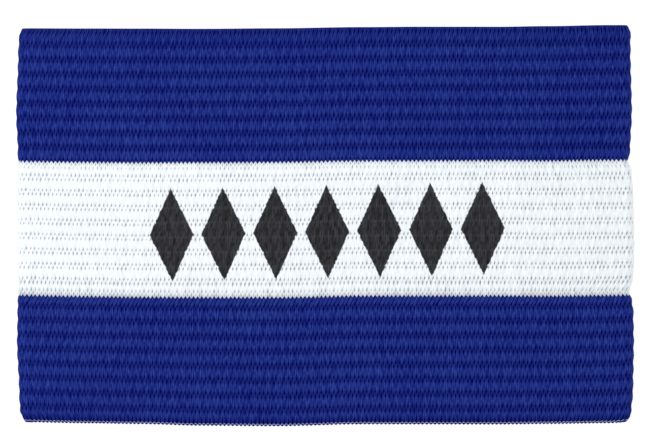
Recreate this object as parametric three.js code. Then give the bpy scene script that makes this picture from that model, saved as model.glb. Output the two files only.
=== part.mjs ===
// A captain's armband: one closed loop of wide ribbed elastic in three colour stripes, lying folded
// flat. Millimetres, +Z up. X runs from fold to fold, Y across the stripes, and the arm goes through
// along Y. The origin is on the surface that the band lies on, under the middle of the band.

import * as THREE from 'three';

// Driving dimensions
const FLAT_LENGTH = 140; // from fold to fold, over the rib crowns
const UPPER_WIDTH = 30.2; // the three stripes, across the ribs
const MIDDLE_WIDTH = 30.2;
const LOWER_WIDTH = 28.7;
const STRIPE_GAP = 0.3; // between neighbouring stripes
const RIB_COUNT = 9; // ribs across each stripe
const WEB = 1.06; // thickness at the grooves between ribs
const RIB_HEIGHT = 0.32; // height of a rib above its grooves, on each face of the elastic
const EDGE_THICKNESS = 0.7; // thickness at a stripe's two edges
const FOLD_GAP = 2.9; // clear height of the hollow beside a fold
const LAYER_RISE = 4.5; // how much higher the upper layer stands midway than at the folds
const FOLD_INSET = 2; // how far a fold draws in near the band's two long edges
const EDGE_SAG = 0.45; // how far the stripes wander off straight

// Segments of the loop
const LOWER_LAYER_STEPS = 7;
const UPPER_LAYER_STEPS = 9;
const FOLD_STEPS = 7;

// The flat crown of a rib, as shares of the rib's width
const CROWN_START = 0.25;
const CROWN_END = 0.75;

// A stripe's first rib, at its +Y edge, and its last one, as shares of its width. The ribs between
// them share the rest evenly.
const STRIPES = [
  { name: 'upper_stripe', width: UPPER_WIDTH, firstRib: 0.12, lastRib: 0.11, colour: 0x1e2b7d },
  { name: 'middle_stripe', width: MIDDLE_WIDTH, firstRib: 0.118, lastRib: 0.12, colour: 0xe4e9f0 },
  { name: 'lower_stripe', width: LOWER_WIDTH, firstRib: 0.085, lastRib: 0.12, colour: 0x182677 },
];

// How far the two folds draw in: place across the band as a share of its width, from the +Y edge, and
// the left and the right fold's inset as shares of FOLD_INSET.
const FOLDS = [
  { across: 0, left: 0.4, right: 0.65 },
  { across: 0.02, left: 0.36, right: 0.42 },
  { across: 0.06, left: 0.25, right: 0.42 },
  { across: 0.22, left: 0.04, right: 0.27 },
  { across: 0.34, left: 0.15, right: 0.4 },
  { across: 0.42, left: 0.05, right: 0.15 },
  { across: 0.6, left: 0.1, right: 0.15 },
  { across: 0.66, left: 0.2, right: 0.3 },
  { across: 0.7, left: 0.15, right: 0.03 },
  { across: 0.8, left: 0.1, right: 0 },
  { across: 0.92, left: 0.27, right: 0.03 },
  { across: 0.97, left: 0.45, right: 0.25 },
  { across: 1, left: 1.1, right: 1 },
];

// How the stripes wander towards -Y: place along the band as a share of FLAT_LENGTH, and the sag of
// the +Y edge, of the band's middle and of the -Y edge as shares of EDGE_SAG.
const SAG = [
  { along: 0, top: 0.5, middle: -0.05, bottom: -0.5 },
  { along: 0.2, top: 0.88, middle: 0.94, bottom: 0.3 },
  { along: 0.3, top: 1.03, middle: 0.67, bottom: 0.8 },
  { along: 0.42, top: 0.75, middle: 0.6, bottom: 1.06 },
  { along: 0.56, top: 0.2, middle: -0.1, bottom: 0.25 },
  { along: 0.66, top: 0, middle: -0.1, bottom: 0.2 },
  { along: 0.78, top: -0.05, middle: -0.2, bottom: 0.35 },
  { along: 0.86, top: -0.45, middle: 0.1, bottom: 0.1 },
  { along: 1, top: -1.2, middle: -0.2, bottom: -0.35 },
];

// Sizes that follow from them
const CROWN_HALF = WEB / 2 + RIB_HEIGHT;
const BAND_WIDTH = UPPER_WIDTH + MIDDLE_WIDTH + LOWER_WIDTH + 2 * STRIPE_GAP;
const FOLD_RADIUS = FOLD_GAP / 2 + CROWN_HALF;

// The value of one column of a table at a place in another column, eased between its rows
function readTable(table, place, column, at) {
  const found = table.findIndex((row) => row[place] > at);
  const next = found < 1 ? table.length - 1 : found;
  const before = table[next - 1];
  const after = table[next];
  const eased = THREE.MathUtils.smoothstep(at, before[place], after[place]);
  return THREE.MathUtils.lerp(before[column], after[column], eased);
}

// How far the left or the right fold lies inside the band's full length, at a place y across it
function foldInset(side, y) {
  return FOLD_INSET * readTable(FOLDS, 'across', side, 0.5 - y / BAND_WIDTH);
}

// How far the band wanders towards -Y at a place (x, y)
function sag(x, y) {
  const along = THREE.MathUtils.clamp(x / FLAT_LENGTH + 0.5, 0, 1);
  const middle = readTable(SAG, 'along', 'middle', along);
  const edge = readTable(SAG, 'along', y > 0 ? 'top' : 'bottom', along);
  return EDGE_SAG * THREE.MathUtils.lerp(middle, edge, (2 * Math.abs(y)) / BAND_WIDTH);
}

// The stations round the loop: the stretch that each lies on, and its share of that stretch
function loopStations() {
  const stretches = [
    { name: 'lower layer', steps: LOWER_LAYER_STEPS },
    { name: 'right fold', steps: FOLD_STEPS },
    { name: 'upper layer', steps: UPPER_LAYER_STEPS },
    { name: 'left fold', steps: FOLD_STEPS },
  ];
  return stretches.flatMap(({ name, steps }) =>
    Array.from({ length: steps }, (_, step) => ({ stretch: name, share: step / steps })),
  );
}

// A point on the middle line of the elastic, with the direction out of the loop. The lower layer is
// flat, each fold is an arc, and the upper layer is one wide arc that meets both folds smoothly.
function middleLine(station, y) {
  const inset = { left: foldInset('left', y), right: foldInset('right', y) };
  const middleX = (inset.left - inset.right) / 2;
  const reach = FLAT_LENGTH / 2 - CROWN_HALF - FOLD_RADIUS - (inset.left + inset.right) / 2;
  const foldZ = CROWN_HALF + FOLD_RADIUS;
  const domeRadius = (reach ** 2 + (LAYER_RISE + FOLD_RADIUS) ** 2 - FOLD_RADIUS ** 2) / (2 * LAYER_RISE);
  const domeZ = foldZ + FOLD_RADIUS + LAYER_RISE - domeRadius;
  const domeEnd = Math.asin(reach / (domeRadius - FOLD_RADIUS));
  const foldTurn = Math.PI - domeEnd;
  if (station.stretch === 'lower layer') {
    const x = THREE.MathUtils.lerp(middleX - reach, middleX + reach, station.share);
    return { x, z: CROWN_HALF, outX: 0, outZ: -1 };
  }
  if (station.stretch === 'upper layer') {
    const turn = THREE.MathUtils.lerp(domeEnd, -domeEnd, station.share);
    return arcPoint(middleX, domeZ, domeRadius, turn);
  }
  if (station.stretch === 'right fold') {
    return arcPoint(middleX + reach, foldZ, FOLD_RADIUS, Math.PI - foldTurn * station.share);
  }
  return arcPoint(middleX - reach, foldZ, FOLD_RADIUS, -domeEnd - foldTurn * station.share);
}

// A point on an arc, its turn measured from straight up towards +X
function arcPoint(centreX, centreZ, radius, turn) {
  const outX = Math.sin(turn);
  const outZ = Math.cos(turn);
  return { x: centreX + radius * outX, z: centreZ + radius * outZ, outX, outZ };
}

// The section of a stripe across its ribs, as places from its -Y edge and half thicknesses
function ribSection({ width, firstRib, lastRib }) {
  const innerRib = (1 - firstRib - lastRib) / (RIB_COUNT - 2);
  const points = [{ across: 0, half: EDGE_THICKNESS / 2 }];
  for (let rib = 0; rib < RIB_COUNT; rib += 1) {
    const from = points.at(-1).across;
    const share = rib === 0 ? lastRib : rib === RIB_COUNT - 1 ? firstRib : innerRib;
    const end = rib === RIB_COUNT - 1 ? EDGE_THICKNESS / 2 : WEB / 2;
    points.push({ across: from + share * width * CROWN_START, half: CROWN_HALF });
    points.push({ across: from + share * width * CROWN_END, half: CROWN_HALF });
    points.push({ across: from + share * width, half: end });
  }
  return points;
}

// The closed ring of section points: the outer face towards +Y, then the inner face back
function sectionRing(stripe) {
  const outer = ribSection(stripe);
  const inner = outer.toReversed().map(({ across, half }) => ({ across, half: -half }));
  return [...outer, ...inner];
}

// One stripe as a closed loop, its -Y edge at the given place across the band
function stripeGeometry(stripe, edge) {
  const ring = sectionRing(stripe);
  const stations = loopStations();
  const positions = [];
  const index = [];
  stations.forEach((station, s) => {
    ring.forEach(({ across, half }, r) => {
      const y = edge + across;
      const { x, z, outX, outZ } = middleLine(station, y);
      positions.push(x + half * outX, y - sag(x, y), z + half * outZ);
      const here = s * ring.length;
      const ahead = ((s + 1) % stations.length) * ring.length;
      const beside = (r + 1) % ring.length;
      index.push(here + r, here + beside, ahead + beside);
      index.push(here + r, ahead + beside, ahead + r);
    });
  });
  const geometry = new THREE.BufferGeometry();
  geometry.setAttribute('position', new THREE.Float32BufferAttribute(positions, 3));
  geometry.setIndex(index);
  geometry.computeVertexNormals();
  return geometry;
}

// The knitted elastic of one colour
function elastic(colour) {
  return new THREE.MeshStandardMaterial({ color: colour, roughness: 0.85, metalness: 0 });
}

// The armband: the stripes side by side, from the +Y edge down
function buildArmband() {
  const armband = new THREE.Group();
  let top = BAND_WIDTH / 2;
  for (const stripe of STRIPES) {
    const mesh = new THREE.Mesh(stripeGeometry(stripe, top - stripe.width), elastic(stripe.colour));
    mesh.name = stripe.name;
    armband.add(mesh);
    top -= stripe.width + STRIPE_GAP;
  }
  const box = new THREE.Box3().setFromObject(armband);
  const middle = box.getCenter(new THREE.Vector3());
  armband.position.set(-middle.x, -middle.y, -box.min.z);
  return armband;
}

export default buildArmband();
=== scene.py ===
"""A captain's armband of ribbed knitted elastic, lying flat: knitted stripes, thread, print and stage."""

import math
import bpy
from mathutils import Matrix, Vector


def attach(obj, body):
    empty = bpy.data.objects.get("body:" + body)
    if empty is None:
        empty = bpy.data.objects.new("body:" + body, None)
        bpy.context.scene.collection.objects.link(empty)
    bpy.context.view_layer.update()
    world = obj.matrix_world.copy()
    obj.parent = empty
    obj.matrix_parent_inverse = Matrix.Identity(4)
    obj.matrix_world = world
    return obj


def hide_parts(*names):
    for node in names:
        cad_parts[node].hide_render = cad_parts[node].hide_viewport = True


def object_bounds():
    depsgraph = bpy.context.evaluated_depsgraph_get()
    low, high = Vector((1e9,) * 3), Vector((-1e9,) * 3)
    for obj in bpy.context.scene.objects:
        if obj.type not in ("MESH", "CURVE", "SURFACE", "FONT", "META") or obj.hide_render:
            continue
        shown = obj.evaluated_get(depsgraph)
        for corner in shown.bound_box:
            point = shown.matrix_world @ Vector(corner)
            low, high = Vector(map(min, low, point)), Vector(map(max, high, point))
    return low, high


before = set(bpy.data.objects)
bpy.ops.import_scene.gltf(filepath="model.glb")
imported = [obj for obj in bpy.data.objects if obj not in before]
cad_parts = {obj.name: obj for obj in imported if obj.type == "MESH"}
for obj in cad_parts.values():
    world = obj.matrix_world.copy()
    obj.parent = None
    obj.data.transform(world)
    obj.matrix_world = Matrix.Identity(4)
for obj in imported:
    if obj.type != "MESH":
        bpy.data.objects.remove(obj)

from types import SimpleNamespace

import bmesh
import bpy
import numpy as np
from bpy.props import FloatProperty, FloatVectorProperty, IntProperty, PointerProperty
from mathutils import Matrix, Vector

bl_info = {
    "name": "Captain Armband",
    "version": (1, 0, 0),
    "blender": (4, 5, 0),
    "location": "View3D > Sidebar > Armband",
    "description": "Builds a ribbed elastic armband with its edge thread, print and stage",
    "category": "Add Mesh",
}

CAD_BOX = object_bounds()
MM = 0.001

# The photograph's frame in pixels, and the band's four sides in it
PHOTO_WIDTH, PHOTO_HEIGHT = 650, 446
BAND_LEFT, BAND_RIGHT = 16.2, 633.9
BAND_TOP, BAND_BOTTOM = 24.9, 425.3

# A rib of the outer face, from its +Y groove (place 0) to the next groove. Each stitch has two legs.
# lead is the first leg's place in the stitch, which the second leg mirrors, and drift shifts both.
# leg, upper and lower are depths below the crown, as shares of the rib's height, of the legs, of the
# gap between stitches' halves that opens at the +Y groove, and of the one that opens at the next.
# dark_upper and dark_lower say how far light is lost in those gaps, and dim how far on the legs: painted
# shade, drawn into the yarn's colour.
KNIT_COLUMNS = ("place", "lead", "drift", "leg", "upper", "lower", "dark_upper", "dark_lower", "dim")
PLAIN_RIB = (
    (0.00, 0.25, 0.00, 0.80, 1.20, 1.20, 0.70, 0.70, 0.55),
    (0.13, 0.14, 0.00, 0.62, 2.40, 0.90, 1.40, 0.60, 0.28),
    (0.28, 0.17, 0.00, 0.26, 1.20, 0.60, 0.75, 0.40, 0.05),
    (0.50, 0.25, 0.00, 0.00, 0.50, 0.50, 0.30, 0.30, 0.00),
    (0.72, 0.33, 0.00, 0.26, 0.60, 1.20, 0.40, 0.75, 0.05),
    (0.87, 0.36, 0.00, 0.62, 0.90, 2.40, 0.60, 1.40, 0.28),
)
# The stitches' tips at a stripe's -Y edge
LAST_TIPS = ((1.00, 0.38, 0.00, 1.56, 1.56, 1.56, 0.40, 0.40, 0.40),)
# The rib along the band's +Y edge has a closed rim, a row of gaps under it, and leaning stitches
RIM_RIB = (
    (0.00, 0.25, -0.50, 1.56, 1.56, 1.56, 0.80, 0.80, 0.70),
    (0.09, 0.25, -0.50, 0.45, 0.80, 0.80, 0.65, 0.65, 0.25),
    (0.22, 0.15, -0.50, 0.50, 2.40, 0.90, 1.30, 0.80, 0.30),
    (0.42, 0.20, -0.30, 0.25, 1.10, 0.70, 0.90, 0.60, 0.10),
    (0.68, 0.30, -0.07, 0.00, 0.50, 0.80, 0.45, 0.60, 0.00),
    (0.88, 0.36, 0.00, 0.65, 0.90, 2.40, 0.60, 1.40, 0.28),
)
# The lower stripe's first rib has one leaning stroke and one long gap to a stitch
LEANING_RIB = (
    (0.00, 0.12, -1.00, 1.56, 1.56, 1.56, 0.40, 0.70, 0.40),
    (0.16, 0.20, -0.90, 0.60, 0.80, 1.60, 0.35, 1.00, 0.10),
    (0.40, 0.26, -0.55, 0.15, 0.45, 1.20, 0.30, 0.90, 0.00),
    (0.68, 0.32, -0.20, 0.20, 0.45, 1.40, 0.35, 0.90, 0.00),
    (0.88, 0.36, 0.00, 0.65, 0.90, 2.40, 0.60, 1.40, 0.28),
)
# The rib along the -Y edge falls away to the catch thread, behind a row of large gaps
BED_RIB = PLAIN_RIB[:3] + (
    (0.42, 0.25, 0.00, 0.05, 0.50, 0.50, 0.40, 0.40, 0.05),
    (0.58, 0.30, 0.00, 0.15, 0.70, 1.20, 0.60, 0.90, 0.20),
    (0.76, 0.37, 0.00, 0.40, 1.00, 2.40, 0.80, 1.50, 0.30),
    (1.00, 0.38, 0.00, 1.30, 1.30, 1.60, 0.70, 0.70, 0.60),
)
# A white rib's rows of gaps stand further apart
WHITE_RIB = (
    (0.00, 0.25, 0.00, 0.80, 1.20, 1.20, 0.50, 0.50, 0.35),
    (0.14, 0.14, 0.00, 0.60, 2.40, 0.90, 1.40, 0.50, 0.20),
    (0.28, 0.17, 0.00, 0.26, 1.20, 0.60, 0.60, 0.40, 0.05),
    (0.50, 0.25, 0.00, 0.00, 0.50, 0.50, 0.30, 0.30, 0.00),
    (0.72, 0.33, 0.00, 0.26, 0.60, 1.20, 0.40, 0.60, 0.05),
    (0.86, 0.36, 0.00, 0.60, 0.90, 2.40, 0.50, 1.40, 0.20),
)
# The white ribs beside the blue stripes lie under their tips, with a second row of small gaps, and are
# painted darker there as shade under the tips
WHITE_FIRST_RIB = (
    (0.00, 0.12, 0.00, 1.90, 1.90, 1.90, 0.75, 0.75, 0.75),
    (0.10, 0.25, 0.00, 0.70, 1.20, 0.90, 0.70, 0.70, 0.60),
    (0.20, 0.35, 0.00, 0.45, 0.50, 1.60, 0.50, 1.00, 0.40),
    (0.38, 0.15, 0.00, 0.10, 1.40, 0.30, 1.10, 0.35, 0.15),
    (0.60, 0.25, 0.00, 0.00, 0.35, 0.35, 0.30, 0.30, 0.00),
    (0.86, 0.36, 0.00, 0.60, 0.80, 2.20, 0.50, 1.30, 0.20),
)
WHITE_LAST_RIB = (
    (0.00, 0.25, 0.00, 0.80, 1.20, 1.20, 0.60, 0.60, 0.50),
    (0.14, 0.14, 0.00, 0.60, 2.40, 0.80, 1.30, 0.60, 0.40),
    (0.34, 0.22, 0.00, 0.10, 0.60, 0.35, 0.50, 0.40, 0.25),
    (0.61, 0.35, 0.00, 0.10, 0.35, 1.40, 0.50, 1.10, 0.45),
    (0.79, 0.15, 0.00, 0.45, 1.60, 0.50, 1.05, 0.62, 0.58),
    (0.90, 0.25, 0.00, 0.70, 0.90, 1.20, 0.82, 0.82, 0.75),
    (1.00, 0.38, 0.00, 1.90, 1.90, 1.90, 0.75, 0.75, 0.75),
)
COLUMNS_PER_STITCH = 4
RIB_COUNT = 9
RIB_PITCH = 3.3 * MM

# How stitches differ by chance: how far their gaps open, how far they shift along the band as a share
# of a stitch, and how pale their yarn is
GAP_SPREAD, GAP_LIMITS = 0.13, (0.6, 1.4)
SHIFT_SPREAD, SHIFT_LIMIT = 0.03, 0.07
TONE_SPREAD = 0.8

# The stripes from the +Y edge down. first_rib and last_rib are the outermost ribs' shares of the
# stripe's width, and the ribs between share the rest. first_knit, knit and last_knit are the tables of
# the first rib, of the ribs between and of the last one. first_teeth and last_teeth are the shares of
# a tooth by which an edge zigzags, and tuck the share of the tuck by which it lies under the next one.
STRIPES = (
    {"node": "upper_stripe", "slot": "upper_blue", "width": "upper_width", "yarn": "blue", "seed": 11,
     "first_rib": 0.125, "last_rib": 0.111, "first_knit": RIM_RIB, "knit": PLAIN_RIB,
     "last_knit": PLAIN_RIB + LAST_TIPS, "first_teeth": 0, "last_teeth": 1, "tuck": 0},
    {"node": "middle_stripe", "slot": "middle_white", "width": "middle_width", "yarn": "white", "seed": 23,
     "first_rib": 0.118, "last_rib": 0.12, "first_knit": WHITE_FIRST_RIB, "knit": WHITE_RIB,
     "last_knit": WHITE_LAST_RIB, "first_teeth": 1, "last_teeth": 1, "tuck": 1},
    {"node": "lower_stripe", "slot": "lower_blue", "width": "lower_width", "yarn": "blue", "seed": 37,
     "first_rib": 0.079, "last_rib": 0.124, "first_knit": LEANING_RIB, "knit": PLAIN_RIB,
     "last_knit": BED_RIB, "first_teeth": 1, "last_teeth": 0.45, "tuck": 0},
)

# How far the two folds draw in: place across the band as a share of its width, from the +Y edge, and
# the left and the right fold's inset as shares of fold_inset. A fold bulges where its share is negative.
FOLD_COLUMNS = ("across", "left", "right")
FOLDS = (
    (0.00, 0.55, 0.60),
    (0.02, 0.28, 0.32),
    (0.06, 0.17, 0.33),
    (0.22, -0.05, 0.18),
    (0.31, 0.12, 0.36),
    (0.34, 0.15, 0.58),
    (0.37, 0.11, 0.14),
    (0.42, 0.05, 0.00),
    (0.50, 0.07, -0.12),
    (0.60, 0.10, -0.12),
    (0.64, 0.17, 0.02),
    (0.668, 0.19, 0.46),
    (0.69, 0.12, 0.18),
    (0.72, 0.10, 0.00),
    (0.80, 0.04, -0.05),
    (0.92, 0.27, 0.03),
    (0.97, 0.36, 0.20),
    (0.99, 0.68, 0.40),
    (1.00, 0.88, 0.75),
)

# How the stripes wander towards -Y: place along the band as a share of its flat length, and the sag of
# the +Y edge, of the band's middle and of the -Y edge as shares of edge_sag.
SAG_COLUMNS = ("along", "top", "middle", "bottom")
SAG = (
    (0.00, 0.50, -0.05, -0.90),
    (0.12, 0.73, 0.55, -0.35),
    (0.20, 0.85, 0.88, -0.05),
    (0.30, 1.03, 0.67, 0.72),
    (0.42, 0.80, 0.58, 0.96),
    (0.56, 0.20, -0.15, 0.00),
    (0.66, 0.00, -0.18, 0.05),
    (0.78, -0.05, -0.28, 0.15),
    (0.86, -0.45, 0.05, -0.05),
    (0.96, -1.08, -0.24, -0.35),
    (1.00, -1.20, -0.30, -1.30),
)


def linear(code):
    """Scene-linear red, green and blue of an sRGB hex colour."""
    parts = [int(code[start:start + 2], 16) / 255 for start in (1, 3, 5)]
    return [part / 12.92 if part <= 0.04045 else ((part + 0.055) / 1.055) ** 2.4 for part in parts]


def length(name, description, millimetres):
    """A size in metres that the sidebar shows as a length."""
    return FloatProperty(
        name=name, description=description, default=millimetres * MM,
        unit="LENGTH", subtype="DISTANCE", precision=5,
    )


def colour(name, description, code):
    """A colour given as an sRGB hex value and kept as scene-linear."""
    return FloatVectorProperty(
        name=name, description=description, default=linear(code), subtype="COLOR", min=0, max=1,
    )


class ArmbandSizes(bpy.types.PropertyGroup):
    """Sizes of the elastic and of its stitches"""

    flat_length: length("Flat length", "From fold to fold over the rib crowns", 140)
    upper_width: length("Upper width", "Width of the upper blue stripe", 30.2)
    middle_width: length("Middle width", "Width of the white stripe", 30.2)
    lower_width: length("Lower width", "Width of the lower blue stripe", 28.7)
    stripe_gap: length("Stripe gap", "Between neighbouring stripes' solids, which the knit closes", 0.3)
    web: length("Web", "Thickness at the grooves between ribs", 1.06)
    rib_height: length("Rib height", "Height of a rib above its grooves on each face", 0.32)
    edge_thickness: length("Edge thickness", "Thickness at a stripe's two edges", 0.7)
    fold_gap: length("Fold gap", "Clear height of the hollow beside a fold", 2.9)
    layer_rise: length("Layer rise", "How much higher the upper layer stands midway than at the folds", 4.5)
    fold_inset: length("Fold inset", "How far a fold draws in near the band's long edges", 2.0)
    fold_slide: length("Fold slide", "Length beside a fold over which the stitches draw in with it", 30)
    fold_relief: length("Fold relief", "Height of a rib at a fold, where the stretch flattens it", 0.22)
    edge_sag: length("Edge sag", "How far the stripes wander off straight", 0.45)
    stitch: length("Stitch", "Length of one stitch along the band", 0.933)
    tooth: length("Tooth", "How far a stitch's tip reaches over the next stripe", 0.34)
    tuck: length("Tuck", "How far the white's edges lie under the blue", 0.1)
    thread: length("Thread", "Thickness of the catch thread along the band's edge", 0.15)


class ArmbandPrint(bpy.types.PropertyGroup):
    """Row of plain lozenges printed on the white stripe's upper layer"""

    count: IntProperty(name="Lozenges", description="Number of lozenges in the row", default=7, min=1)
    width: length("Width", "Width of a lozenge along the band", 10.2)
    height: length("Height", "Height of a lozenge across the band", 21.6)
    pitch: length("Pitch", "From one lozenge to the next", 11.72)
    centre_x: length("Centre X", "Middle of the row along the band", 0.5)
    centre_y: length("Centre Y", "Middle of the row across the band", -1.5)
    tilt: FloatProperty(
        name="Tilt", description="Turn of the row on the band", default=math.radians(1.2),
        unit="ROTATION", subtype="ANGLE",
    )


class ArmbandColours(bpy.types.PropertyGroup):
    """Colours of the yarns, the thread and the ink"""

    blue: colour("Blue yarn", "Royal blue polyester yarn", "#12247C")
    # Each yarn's lit copy paints highlights into its colour, and its shaded copy paints shade into its gaps
    # and grooves.
    blue_light: colour("Blue yarn, lit", "The same yarn where its filaments catch the light", "#334AA0")
    blue_dark: colour("Blue yarn, shaded", "The same yarn deep between two stitches", "#000258")
    white: colour("White yarn", "Bleached polyester yarn", "#E4EBF0")
    # The white yarn's lit and shaded copies paint highlight and shade in the same way.
    white_light: colour("White yarn, lit", "The same yarn where its filaments catch the light", "#FAFCFD")
    white_dark: colour("White yarn, shaded", "The same yarn deep between two stitches", "#A2AAB2")
    thread: colour("Catch thread", "Half-clear thread over the blue edge", "#AAB4EA")
    ink: colour("Ink", "Charcoal screen ink on the crowns", "#1C1C1E")
    ink_worn: colour("Ink, thin", "The same ink where it hardly reaches into a groove", "#3E3E42")


def eased(share):
    """A share kept between 0 and 1, and smoothed at both ends."""
    share = np.clip(share, 0, 1)
    return share * share * (3 - 2 * share)


def read_table(rows, names, column, at):
    """Values of a table's column at places in its first column, eased between its rows."""
    table = np.array(rows, float)
    places, values = table[:, 0], table[:, names.index(column)]
    after = np.clip(np.searchsorted(places, at, side="right"), 1, len(places) - 1)
    before = after - 1
    share = eased((at - places[before]) / (places[after] - places[before]))
    return values[before] + (values[after] - values[before]) * share


def band_shape(sizes):
    """The loop's arcs and stretches, worked out from the sizes as the solids are."""
    shape = SimpleNamespace(sizes=sizes)
    shape.crown = sizes.web / 2 + sizes.rib_height
    shape.width = sizes.upper_width + sizes.middle_width + sizes.lower_width + 2 * sizes.stripe_gap
    shape.fold = sizes.fold_gap / 2 + shape.crown
    shape.fold_x = sizes.flat_length / 2 - shape.crown - shape.fold
    shape.fold_z = shape.crown + shape.fold
    rise = sizes.layer_rise + shape.fold
    shape.dome = (shape.fold_x**2 + rise**2 - shape.fold**2) / (2 * sizes.layer_rise)
    shape.dome_z = shape.fold_z + rise - shape.dome
    shape.dome_end = math.asin(shape.fold_x / (shape.dome - shape.fold))
    fold_length = shape.fold * (math.pi - shape.dome_end)
    dome_length = 2 * shape.dome * shape.dome_end
    shape.ends = np.cumsum([shape.fold_x, fold_length, dome_length, fold_length, shape.fold_x])
    shape.stitches = round(shape.ends[-1] / sizes.stitch)
    shape.left_end = -(shape.fold_x + shape.fold * math.pi / 2)
    samples = 201
    x = np.linspace(-0.5, 0.5, samples) * sizes.flat_length
    highest = (shape.width / 2 - sag(shape, x, shape.width / 2)).max()
    lowest = (-shape.width / 2 - sag(shape, x, -shape.width / 2)).min()
    shape.shift_y = (CAD_BOX[0][1] + CAD_BOX[1][1]) / 2 - (highest + lowest) / 2
    return shape


def sag(shape, x, y):
    """How far the band wanders towards -Y at a place."""
    along = np.clip(x / shape.sizes.flat_length + 0.5, 0, 1)
    middle = read_table(SAG, SAG_COLUMNS, "middle", along)
    top = read_table(SAG, SAG_COLUMNS, "top", along)
    bottom = read_table(SAG, SAG_COLUMNS, "bottom", along)
    edge = np.where(y > 0, top, bottom)
    return shape.sizes.edge_sag * (middle + (edge - middle) * 2 * np.abs(y) / shape.width)


def middle_line(shape, along):
    """Points of the loop's middle line, from the middle of the under layer, and the way out of it."""
    along = np.mod(along, shape.ends[-1])
    under_end, right_end, upper_end, left_end, whole = shape.ends
    right_turn = math.pi - (along - under_end) / shape.fold
    upper_turn = shape.dome_end - (along - right_end) / shape.dome
    left_turn = -shape.dome_end - (along - upper_end) / shape.fold
    where = [along < under_end, along < right_end, along < upper_end, along < left_end]
    turn = np.select(where, [math.pi + 0 * along, right_turn, upper_turn, left_turn], math.pi)
    radius = np.select(where, [0 * along, shape.fold, shape.dome, shape.fold], 0)
    centre_x = np.select(where, [along, shape.fold_x, 0, -shape.fold_x], along - whole)
    flat_z = shape.crown + 0 * along
    centre_z = np.select(where, [flat_z, shape.fold_z, shape.dome_z, shape.fold_z], shape.crown)
    out_x, out_z = np.sin(turn), np.cos(turn)
    return centre_x + radius * out_x, centre_z + radius * out_z, out_x, out_z


def on_band(shape, along, y, lift):
    """Points at a place along the loop and across the band, lifted out of the middle line."""
    x, z, out_x, out_z = middle_line(shape, along)
    sizes = shape.sizes
    across = np.clip(0.5 - y / shape.width, 0, 1)
    left = read_table(FOLDS, FOLD_COLUMNS, "left", across)
    right = read_table(FOLDS, FOLD_COLUMNS, "right", across)
    slide = eased((np.abs(x) - shape.fold_x - shape.fold) / sizes.fold_slide + 1)
    x = x + sizes.fold_inset * slide * np.where(x < 0, left, -right)
    return np.stack([x + lift * out_x, y - sag(shape, x, y) + shape.shift_y, z + lift * out_z], axis=-1)


def rib_edges(stripe, width):
    """Places of a stripe's grooves from its +Y edge, with its two edges."""
    inner = (1 - stripe["first_rib"] - stripe["last_rib"]) / (RIB_COUNT - 2)
    shares = [stripe["first_rib"]] + [inner] * (RIB_COUNT - 2) + [stripe["last_rib"]]
    return np.concatenate([[0], np.cumsum(shares)]) * width


def section_rows(stripe, shape, width):
    """The rows round a stripe's section: the outer face towards -Y, an edge, the inner face, an edge."""
    grooves = rib_edges(stripe, width)
    edge = (shape.crown - shape.sizes.edge_thickness / 2) / shape.sizes.rib_height
    even = dict.fromkeys(KNIT_COLUMNS, 0.0)
    rows = []
    for rib in range(RIB_COUNT):
        knit = {0: stripe["first_knit"], RIB_COUNT - 1: stripe["last_knit"]}.get(rib, stripe["knit"])
        for values in knit:
            row = dict(zip(KNIT_COLUMNS, values), face=1, rib=rib)
            rows.append({**row, "across": grooves[rib] + row["place"] * (grooves[rib + 1] - grooves[rib])})
    # The edges, and the grooves of the inner face, are painted darker as shade, by their dim and dark
    # values.
    side = {**even, "lead": 0.25, "face": 0, "dim": 0.5, "dark_upper": 0.6, "dark_lower": 0.6}
    rows.append({**side, "rib": RIB_COUNT - 1, "place": 1, "across": width})
    groove = {"leg": 1, "upper": 1.2, "lower": 1.2, "dark_upper": 0.9, "dark_lower": 0.9, "dim": 0.4}
    crown = {"leg": 0, "upper": 0.3, "lower": 0.3, "dark_upper": 0.3, "dark_lower": 0.3}
    inside = {**even, "lead": 0.25, "face": -1}
    for rib in reversed(range(RIB_COUNT)):
        middle = (grooves[rib] + grooves[rib + 1]) / 2
        rows.append({**inside, **groove, "rib": rib, "place": 1, "across": grooves[rib + 1]})
        rows.append({**inside, **crown, "rib": rib, "place": 0.5, "across": middle})
    rows.append({**inside, **groove, "rib": 0, "across": 0})
    # The inner face meets the two edges at half their thickness.
    for row in rows:
        if row["face"] < 0 and row["across"] in (0, width):
            row.update(leg=edge, upper=edge, lower=edge)
    rows.append({**side, "rib": 0, "across": 0})
    rows.append(rows[0])
    return {key: np.array([row[key] for row in rows], float) for key in rows[0]}


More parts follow.
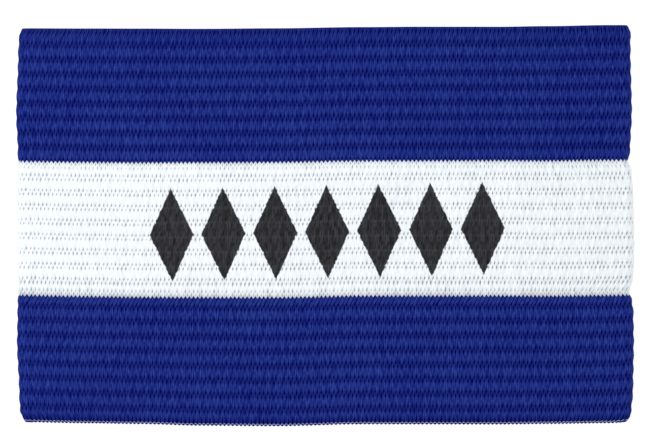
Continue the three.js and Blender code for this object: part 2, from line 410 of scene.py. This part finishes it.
def knitted_tube(stripe, shape, top, width):
    """A closed knitted loop, made from a flat grid that is laid round the section and the loop."""
    rows = section_rows(stripe, shape, width)
    row_count = len(rows["across"]) - 1
    column_count = shape.stitches * COLUMNS_PER_STITCH
    mesh = bpy.data.meshes.new(stripe["node"] + "_knit")
    bm = bmesh.new()
    bm.loops.layers.uv.new("Knit")
    bm.loops.layers.uv.new("OFBake")
    half_way = Matrix.Translation((0.5, 0.5, 0))
    bmesh.ops.create_grid(bm, x_segments=column_count, y_segments=row_count, size=0.5, matrix=half_way)
    bm.to_mesh(mesh)
    flat = np.empty(len(mesh.vertices) * 3, np.float32)
    mesh.vertices.foreach_get("co", flat)
    flat = flat.reshape(-1, 3)
    column = np.rint(flat[:, 0] * column_count).astype(int)
    row = np.rint(flat[:, 1] * row_count).astype(int)
    knit = stitch_places(stripe, shape, rows, column, row)
    y = top - rows["across"][row] + zigzag(stripe, shape.sizes, rows["across"][row], width, knit.phase)
    along = shape.left_end + knit.phase * shape.ends[-1] / shape.stitches
    # The ribs are flatter where the elastic turns round a fold. bend is how far it has turned there.
    bend = np.abs(middle_line(shape, along)[2])
    relief = shape.sizes.rib_height + (shape.sizes.fold_relief - shape.sizes.rib_height) * bend
    lift = rows["face"][row] * (shape.crown - knit.depth * relief)
    mesh.vertices.foreach_set("co", on_band(shape, along, y, lift).astype(np.float32).ravel())
    for name in ("gap", "shade", "groove", "outer"):
        values = getattr(knit, name).astype(np.float32)
        mesh.attributes.new(name, "FLOAT", "POINT").data.foreach_set("value", values)
    lay_out(mesh, rows, column, row, column_count, knit.phase)
    # The grid's opposite sides now meet, and are merged.
    weld = 0.001 * MM
    bm.clear()
    bm.from_mesh(mesh)
    bmesh.ops.remove_doubles(bm, verts=bm.verts, dist=weld)
    bmesh.ops.recalc_face_normals(bm, faces=bm.faces)
    for face in bm.faces:
        face.smooth = True
    bm.to_mesh(mesh)
    bm.free()
    return mesh


def stitch_places(stripe, shape, rows, column, row):
    """For each vertex: its place in stitches, its depth, its painted shade, which is how far light is lost
    there, and its tone, with a painted highlight on the ribs' flanks.
    """
    rng = np.random.default_rng(stripe["seed"])
    part = column % COLUMNS_PER_STITCH
    stitch = column // COLUMNS_PER_STITCH
    around = stitch % shape.stitches
    rib = rows["rib"][row].astype(int)
    place = rows["place"][row]
    outer = (rows["face"][row] > 0).astype(float)
    openness = rng.normal(1, GAP_SPREAD, (RIB_COUNT, 2, shape.stitches)).clip(*GAP_LIMITS)
    shift = rng.normal(0, SHIFT_SPREAD, (RIB_COUNT, 3, shape.stitches)).clip(-SHIFT_LIMIT, SHIFT_LIMIT)
    tone = rng.normal(0, TONE_SPREAD, (RIB_COUNT, 3, 2, shape.stitches))
    # A leg stands out from the legs beside it, and not in long streaks along a rib.
    tone = tone - (np.roll(tone, 1, -1) + np.roll(tone, -1, -1)) / 2
    leg = np.isin(part, (1, 3))
    upper_gap = part == 2
    level = np.clip((place * 3).astype(int), 0, 2)
    lead = rows["lead"][row]
    phase = stitch + np.choose(part, [0 * lead, lead, 0.5 + 0 * lead, 1 - lead]) + rows["drift"][row]
    phase = phase + outer * shift[rib, level, around]
    opened = np.where(outer > 0, openness[rib, upper_gap.astype(int), around], 1)
    leg_depth = rows["leg"][row]
    gap_depth = np.where(upper_gap, rows["upper"][row], rows["lower"][row])
    depth = np.where(leg, leg_depth, leg_depth + (gap_depth - leg_depth) * opened)
    dark = np.where(upper_gap, rows["dark_upper"][row], rows["dark_lower"][row]) * opened
    knit = SimpleNamespace(phase=phase, outer=outer)
    knit.depth = np.maximum(depth, 0)
    # Painted shade: how far the yarn's colour is darkened, in the gaps and on the legs in the grooves.
    knit.gap = np.where(leg, rows["dim"][row], dark)
    # Painted highlight: the legs on the flanks of a rib, beside the gaps, are drawn paler, as where they
    # catch the light.
    flank_highlight = 4 * leg_depth * np.clip(1 - leg_depth, 0, 1)
    knit.shade = np.where(leg, flank_highlight + tone[rib, level, (part == 3).astype(int), around], 0)
    # A groove reaches a ninth of a rib to either side.
    knit.groove = np.clip(1 - 9 * np.minimum(place, 1 - place), 0, 1)
    return knit


def zigzag(stripe, sizes, across, width, phase):
    """How far each vertex reaches towards +Y near an edge, so that its stitches end in tips."""
    wave = 4 * np.abs(np.mod(phase, 1) - 0.5) - 1
    reach = 3 * sizes.tooth
    first = stripe["first_teeth"] * np.clip(1 - across / reach, 0, 1)
    last = stripe["last_teeth"] * np.clip(1 - (width - across) / reach, 0, 1)
    return sizes.tooth * wave * (first + last)


def lay_out(mesh, rows, column, row, column_count, phase):
    """Sets the two UV maps: one in stitches and ribs, and one that fills the square for baking."""
    corner = np.empty(len(mesh.loops), np.int32)
    mesh.loops.foreach_get("vertex_index", corner)
    columns, corner_row = column[corner], row[corner]
    row_count = len(rows["face"]) - 1
    least = 0.1 * MM
    travel = np.hypot(np.diff(rows["across"]), least)
    ribs = np.concatenate([[0], np.cumsum(travel)]) / RIB_PITCH
    knit = np.stack([phase[corner], ribs[corner_row]], axis=-1)
    half = column_count // 2
    strip = (columns.reshape(-1, 4).min(1) >= half).repeat(4)
    margin = 0.002
    across = margin + corner_row / row_count * (0.5 - 2 * margin) + 0.5 * strip
    along = margin + (columns - half * strip) / half * (1 - 2 * margin)
    bake = np.stack([along, across], axis=-1)
    mesh.uv_layers["Knit"].uv.foreach_set("vector", knit.astype(np.float32).ravel())
    mesh.uv_layers["OFBake"].uv.foreach_set("vector", bake.astype(np.float32).ravel())


def add_object(mesh, name, material):
    """Puts a mesh into the scene as a finished piece, riding on the armband's body."""
    piece = bpy.data.objects.new(name, mesh)
    bpy.context.collection.objects.link(piece)
    mesh.materials.clear()
    mesh.materials.append(material)
    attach(piece, "root")
    return piece


def new_material(name):
    """An empty node material, with its nodes and its output's surface socket."""
    material = bpy.data.materials.new(name)
    material.use_nodes = True
    tree = material.node_tree
    tree.nodes.clear()
    return material, tree, tree.nodes.new("ShaderNodeOutputMaterial").inputs["Surface"]


def add_node(tree, kind, inputs, output=0, **settings):
    """Adds a node with its settings, feeds its inputs with values or links, and gives one output."""
    node = tree.nodes.new("ShaderNode" + kind)
    for name, value in settings.items():
        setattr(node, name, value)
    for key, value in inputs.items():
        if isinstance(value, bpy.types.NodeSocket):
            tree.links.new(value, node.inputs[key])
        else:
            node.inputs[key].default_value = value
    return node.outputs[output]


def knitted_elastic(name, colours, yarn, clear, print_settings=None):
    """Rubber elastic covered with textured polyester yarn and knitted in ribs: matte, with fine filaments
    along each leg, a painted highlight where they catch the light and painted shade where the legs part and
    in the grooves."""
    material, tree, surface = new_material(name)
    thread, lit, shaded = ((*getattr(colours, yarn + part), 1) for part in ("", "_light", "_dark"))
    gap = add_node(tree, "Attribute", {}, 2, attribute_name="gap")
    shade = add_node(tree, "Attribute", {}, 2, attribute_name="shade")
    knit = add_node(tree, "UVMap", {}, uv_map="Knit")
    place = add_node(tree, "TexCoord", {}, 3)
    # The filaments are about 0.02 mm thick, and drawn 0.08 mm wide, 12 to a stitch, so that they show.
    per_stitch, per_rib = 12, 3
    grid = add_node(tree, "VectorMath", {0: knit, 1: (per_stitch, per_rib, 1)}, operation="MULTIPLY")
    filaments = add_node(
        tree, "TexNoise", {"Vector": grid, "Scale": 1, "Detail": 2}, noise_dimensions="2D"
    )
    # The dye takes a little unevenly, in patches about 12 mm across.
    patches = add_node(tree, "TexNoise", {"Vector": place, "Scale": 1 / (12 * MM), "Detail": 1})
    # How pale the yarn is, by its leg's tone with the painted highlight on a rib's flanks, its filaments
    # and its patch of dye
    by_leg, by_filament, by_patch, lowest = 0.42, 1.6, 0.4, -0.65
    tone = {0: shade, 1: by_leg, 2: lowest}
    tone = add_node(tree, "Math", tone, operation="MULTIPLY_ADD")
    tone = {0: filaments, 1: by_filament, 2: tone}
    tone = add_node(tree, "Math", tone, operation="MULTIPLY_ADD")
    tone = {0: patches, 1: by_patch, 2: tone}
    tone = add_node(tree, "Math", tone, operation="MULTIPLY_ADD", use_clamp=True)
    legs = add_node(tree, "Mix", {0: tone, 6: thread, 7: lit}, 2, data_type="RGBA")
    # Painted shade in the gaps and grooves: the clearer the yarn, the more light it passes on, so that only
    # the deepest gaps look dark.
    lost = add_node(tree, "Math", {0: gap, 1: clear}, operation="POWER", use_clamp=True)
    base = add_node(tree, "Mix", {0: lost, 6: legs, 7: shaded}, 2, data_type="RGBA")
    if print_settings:
        groove = add_node(tree, "Attribute", {}, 2, attribute_name="groove")
        mask = lozenge_mask(tree, place, groove, print_settings)
        # The ink is thinner in the grooves, and where the yarn under it is pale, partly from the painted
        # highlight on the ribs' flanks.
        by_groove = 0.3
        worn = {0: groove, 1: by_groove, 2: tone}
        worn = add_node(tree, "Math", worn, operation="MULTIPLY_ADD", use_clamp=True)
        inks = {0: worn, 6: (*colours.ink, 1), 7: (*colours.ink_worn, 1)}
        ink = add_node(tree, "Mix", inks, 2, data_type="RGBA")
        base = add_node(tree, "Mix", {0: mask, 6: base, 7: ink}, 2, data_type="RGBA")
    bump = add_node(tree, "Bump", {"Strength": 0.5, "Distance": 0.03 * MM, "Height": filaments})
    smoothest, rougher = 0.65, 0.2
    roughness = {0: filaments, 1: rougher, 2: smoothest}
    roughness = add_node(tree, "Math", roughness, operation="MULTIPLY_ADD")
    shader = add_node(tree, "BsdfPrincipled", {
        "Base Color": base, "Roughness": roughness, "Normal": bump, "IOR": 1.5,
        "Specular IOR Level": 0.04,
    })
    tree.links.new(shader, surface)
    return material


def lozenge_mask(tree, place, groove, row):
    """1 inside the printed lozenges on the upper layer's outer face, with edges as rough as the knit."""
    # Ink spreads about 0.1 mm more or less from stitch to stitch, and stops short at a groove.
    patch, spread, short_at_groove, sharpness = 0.8 * MM, 0.5 * MM, -0.02, 25
    weave = add_node(tree, "TexNoise", {"Vector": place, "Scale": 1 / patch, "Detail": 1}, 1)
    jog = add_node(tree, "VectorMath", {0: weave, 1: (0.5, 0.5, 0.5)}, operation="SUBTRACT")
    rough = add_node(tree, "VectorMath", {0: jog, 1: (spread,) * 3, 2: place}, operation="MULTIPLY_ADD")
    turned = add_node(tree, "Mapping", {
        "Vector": rough, "Location": (row.centre_x, row.centre_y, 0), "Rotation": (0, 0, row.tilt),
    }, vector_type="TEXTURE")
    x, y = add_node(tree, "SeparateXYZ", {0: turned}).node.outputs[:2]
    steps = {0: x, 1: 1 / row.pitch, 2: row.count / 2}
    cell = add_node(tree, "Math", steps, operation="MULTIPLY_ADD")
    cell = add_node(tree, "Math", {0: cell}, operation="FRACT")
    aside = add_node(tree, "Math", {0: cell, 1: 0.5}, operation="SUBTRACT")
    aside = add_node(tree, "Math", {0: aside}, operation="ABSOLUTE")
    away = add_node(tree, "Math", {0: y}, operation="ABSOLUTE")
    away = add_node(tree, "Math", {0: away, 1: -2 / row.height, 2: 1}, operation="MULTIPLY_ADD")
    slope = {0: aside, 1: -2 * row.pitch / row.width, 2: away}
    inside = add_node(tree, "Math", slope, operation="MULTIPLY_ADD")
    inside = {0: groove, 1: short_at_groove, 2: inside}
    inside = add_node(tree, "Math", inside, operation="MULTIPLY_ADD")
    sharp = add_node(tree, "Math", {0: inside, 1: sharpness}, operation="MULTIPLY", use_clamp=True)
    along = add_node(tree, "Math", {0: x}, operation="ABSOLUTE")
    within = add_node(tree, "Math", {0: along, 1: row.count * row.pitch / 2}, operation="LESS_THAN")
    outer = add_node(tree, "Attribute", {}, 2, attribute_name="outer")
    height = add_node(tree, "SeparateXYZ", {0: place}, 2)
    middle = (CAD_BOX[0][2] + CAD_BOX[1][2]) / 2
    upper = add_node(tree, "Math", {0: height, 1: middle}, operation="GREATER_THAN")
    shown = add_node(tree, "Math", {0: within, 1: outer}, operation="MULTIPLY")
    shown = add_node(tree, "Math", {0: shown, 1: upper}, operation="MULTIPLY")
    return add_node(tree, "Math", {0: sharp, 1: shown}, operation="MULTIPLY")


def catch_thread_yarn(colours):
    """Twisted nylon catch thread: half clear, so the blue behind tints it, with a soft shine."""
    material, tree, surface = new_material("twisted nylon thread")
    place = add_node(tree, "TexCoord", {}, 3)
    # The two plies turn about every 0.12 mm.
    turn = 0.12 * MM
    plies = add_node(tree, "TexNoise", {"Vector": place, "Scale": 1 / turn, "Detail": 1})
    # Painted shade: the thread is drawn darker in places by the plies' noise, as between its plies.
    shaded = 0.55
    darker = [part * shaded for part in colours.thread]
    base = {0: plies, 6: (*darker, 1), 7: (*colours.thread, 1)}
    base = add_node(tree, "Mix", base, 2, data_type="RGBA")
    bump = add_node(tree, "Bump", {"Strength": 0.4, "Distance": 0.01 * MM, "Height": plies})
    shader = add_node(tree, "BsdfPrincipled", {
        "Base Color": base, "Roughness": 0.4, "Normal": bump, "IOR": 1.53,
    })
    tree.links.new(shader, surface)
    return material


def thread_mesh(name, points, radius):
    """A closed ring of thread of round section along points, as a mesh."""
    curve = bpy.data.curves.new(name, "CURVE")
    curve.dimensions = "3D"
    curve.bevel_depth = radius
    curve.bevel_resolution = 1
    spline = curve.splines.new("POLY")
    spline.points.add(len(points) - 1)
    spline.points.foreach_set("co", np.column_stack([points, np.ones(len(points))]).ravel())
    spline.use_cyclic_u = True
    holder = bpy.data.objects.new(name, curve)
    bpy.context.collection.objects.link(holder)
    evaluated = holder.evaluated_get(bpy.context.evaluated_depsgraph_get())
    mesh = bpy.data.meshes.new_from_object(evaluated)
    bpy.data.objects.remove(holder)
    bpy.data.curves.remove(curve)
    mesh.name = name
    return mesh


class ARMBAND_OT_knit_stripes(bpy.types.Operator):
    """Knit the three stripes of the band in the places of their solids"""

    bl_idname = "armband.knit_stripes"
    bl_label = "Knit the Stripes"

    def execute(self, context):
        sizes, colours = context.scene.armband_sizes, context.scene.armband_colours
        shape = band_shape(sizes)
        cloths = {
            "blue": knitted_elastic("royal blue knitted elastic", colours, "blue", clear=0.6),
            "white": knitted_elastic(
                "printed white knitted elastic", colours, "white", clear=2.8,
                print_settings=context.scene.armband_print,
            ),
        }
        top = shape.width / 2
        for stripe in STRIPES:
            bottom = top - getattr(sizes, stripe["width"])
            # A stripe reaches to the middle of the gap beside it, and not past the band's own edge.
            more = sizes.stripe_gap / 2 + sizes.tuck * stripe["tuck"]
            reach_top = min(top + more, shape.width / 2)
            reach_bottom = max(bottom - more, -shape.width / 2)
            mesh = knitted_tube(stripe, shape, reach_top, reach_top - reach_bottom)
            piece = add_object(mesh, stripe["node"] + "_knit", cloths[stripe["yarn"]])
            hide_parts(stripe["node"])
            top = bottom - sizes.stripe_gap
        return {"FINISHED"}


class ARMBAND_OT_catch_thread(bpy.types.Operator):
    """Lay the pale catch thread in waves along the band's -Y edge, one wave to a stitch"""

    bl_idname = "armband.catch_thread"
    bl_label = "Lay the Catch Thread"

    def execute(self, context):
        sizes, colours = context.scene.armband_sizes, context.scene.armband_colours
        shape = band_shape(sizes)
        steps_per_stitch = 10
        steps = np.arange(shape.stitches * steps_per_stitch)
        wave = -np.cos(2 * math.pi * steps / steps_per_stitch)
        along = shape.left_end + steps / steps_per_stitch * shape.ends[-1] / shape.stitches
        # The waves lie just inside the edge and rise out of the knit.
        inset, sway = 0.32, 0.12
        rise, swell = 0.18, 0.22
        y = -shape.width / 2 + (inset + sway * wave) * MM
        lift = sizes.edge_thickness / 2 + (rise + swell * wave) * MM
        mesh = thread_mesh("catch_thread", on_band(shape, along, y, lift), sizes.thread / 2)
        piece = add_object(mesh, "catch_thread", catch_thread_yarn(colours))
        return {"FINISHED"}


class ARMBAND_OT_stage(bpy.types.Operator):
    """Lay the pale floor, set soft studio light and point the camera straight down"""

    bl_idname = "armband.stage"
    bl_label = "Set the Stage"

    def execute(self, context):
        add_floor(context)
        world = bpy.data.worlds.new("soft room")
        world.use_nodes = True
        background = world.node_tree.nodes["Background"]
        background.inputs["Color"].default_value = (*linear("#FCFDFF"), 1)
        background.inputs["Strength"].default_value = 0.42
        context.scene.world = world
        add_lamp(context, "softbox", place=(-0.45, 0.1, 0.8), size=0.5, watts=6.4)
        add_lamp(context, "low_softbox", place=(1, 0, 0.35), size=0.5, watts=4)
        add_camera(context)
        context.scene.view_settings.view_transform = "Standard"
        return {"FINISHED"}


def add_floor(context):
    """A large sheet of white paper on a light table, which leaves hardly a shadow round the band."""
    material, tree, surface = new_material("backlit white paper")
    shader = add_node(tree, "BsdfPrincipled", {
        "Base Color": (*linear("#616161"), 1), "Roughness": 0.9,
        "Emission Color": (*linear("#FFFFFF"), 1), "Emission Strength": 0.94,
    })
    tree.links.new(shader, surface)
    bm = bmesh.new()
    bmesh.ops.create_grid(bm, x_segments=1, y_segments=1, size=1.5)
    mesh = bpy.data.meshes.new("floor")
    bm.to_mesh(mesh)
    bm.free()
    mesh.materials.append(material)
    floor = bpy.data.objects.new("floor", mesh)
    context.collection.objects.link(floor)


def add_lamp(context, name, place, size, watts):
    """Adds a round softbox that faces the middle of the floor."""
    light = bpy.data.lights.new(name, "AREA")
    light.shape = "DISK"
    light.size = size
    light.energy = watts
    lamp = bpy.data.objects.new(name, light)
    lamp.location = place
    lamp.rotation_euler = (-lamp.location).to_track_quat("-Z", "Y").to_euler()
    context.collection.objects.link(lamp)


def add_camera(context):
    """Puts the camera straight above the band with a long lens, framed as the photograph is."""
    low, high = Vector(CAD_BOX[0]), Vector(CAD_BOX[1])
    middle = (low + high) / 2
    scale = (high.x - low.x) / (BAND_RIGHT - BAND_LEFT)
    distance = 1.6
    data = bpy.data.cameras.new("camera")
    data.sensor_width = 36
    data.lens = data.sensor_width * (distance - middle.z) / (PHOTO_WIDTH * scale)
    camera = bpy.data.objects.new("camera", data)
    right = (PHOTO_WIDTH - BAND_LEFT - BAND_RIGHT) / 2 * scale
    up = (BAND_TOP + BAND_BOTTOM - PHOTO_HEIGHT) / 2 * scale
    camera.location = (middle.x + right, middle.y + up, distance)
    context.collection.objects.link(camera)
    context.scene.camera = camera


class ARMBAND_PT_parts(bpy.types.Panel):
    """Lists the steps that build the armband, with its sizes and colours"""

    bl_label = "Captain Armband"
    bl_idname = "ARMBAND_PT_parts"
    bl_space_type = "VIEW_3D"
    bl_region_type = "UI"
    bl_category = "Armband"

    def draw(self, context):
        for step in STEPS:
            self.layout.operator(step.bl_idname)
        for group in ("armband_sizes", "armband_print", "armband_colours"):
            settings = getattr(context.scene, group)
            box = self.layout.box()
            for name in settings.__annotations__:
                box.prop(settings, name)


STEPS = (ARMBAND_OT_knit_stripes, ARMBAND_OT_catch_thread, ARMBAND_OT_stage)
CLASSES = (ArmbandSizes, ArmbandPrint, ArmbandColours, *STEPS, ARMBAND_PT_parts)


def register():
    """Registers the classes and hangs the settings on the scene."""
    for entry in CLASSES:
        bpy.utils.register_class(entry)
    bpy.types.Scene.armband_sizes = PointerProperty(type=ArmbandSizes)
    bpy.types.Scene.armband_print = PointerProperty(type=ArmbandPrint)
    bpy.types.Scene.armband_colours = PointerProperty(type=ArmbandColours)


def unregister():
    """Takes the settings off the scene and unregisters the classes."""
    del bpy.types.Scene.armband_colours
    del bpy.types.Scene.armband_print
    del bpy.types.Scene.armband_sizes
    for entry in reversed(CLASSES):
        bpy.utils.unregister_class(entry)


def main():
    """Builds the armband and its stage."""
    register()
    bpy.ops.armband.knit_stripes()
    bpy.ops.armband.catch_thread()
    bpy.ops.armband.stage()


if __name__ == "__main__":
    main()
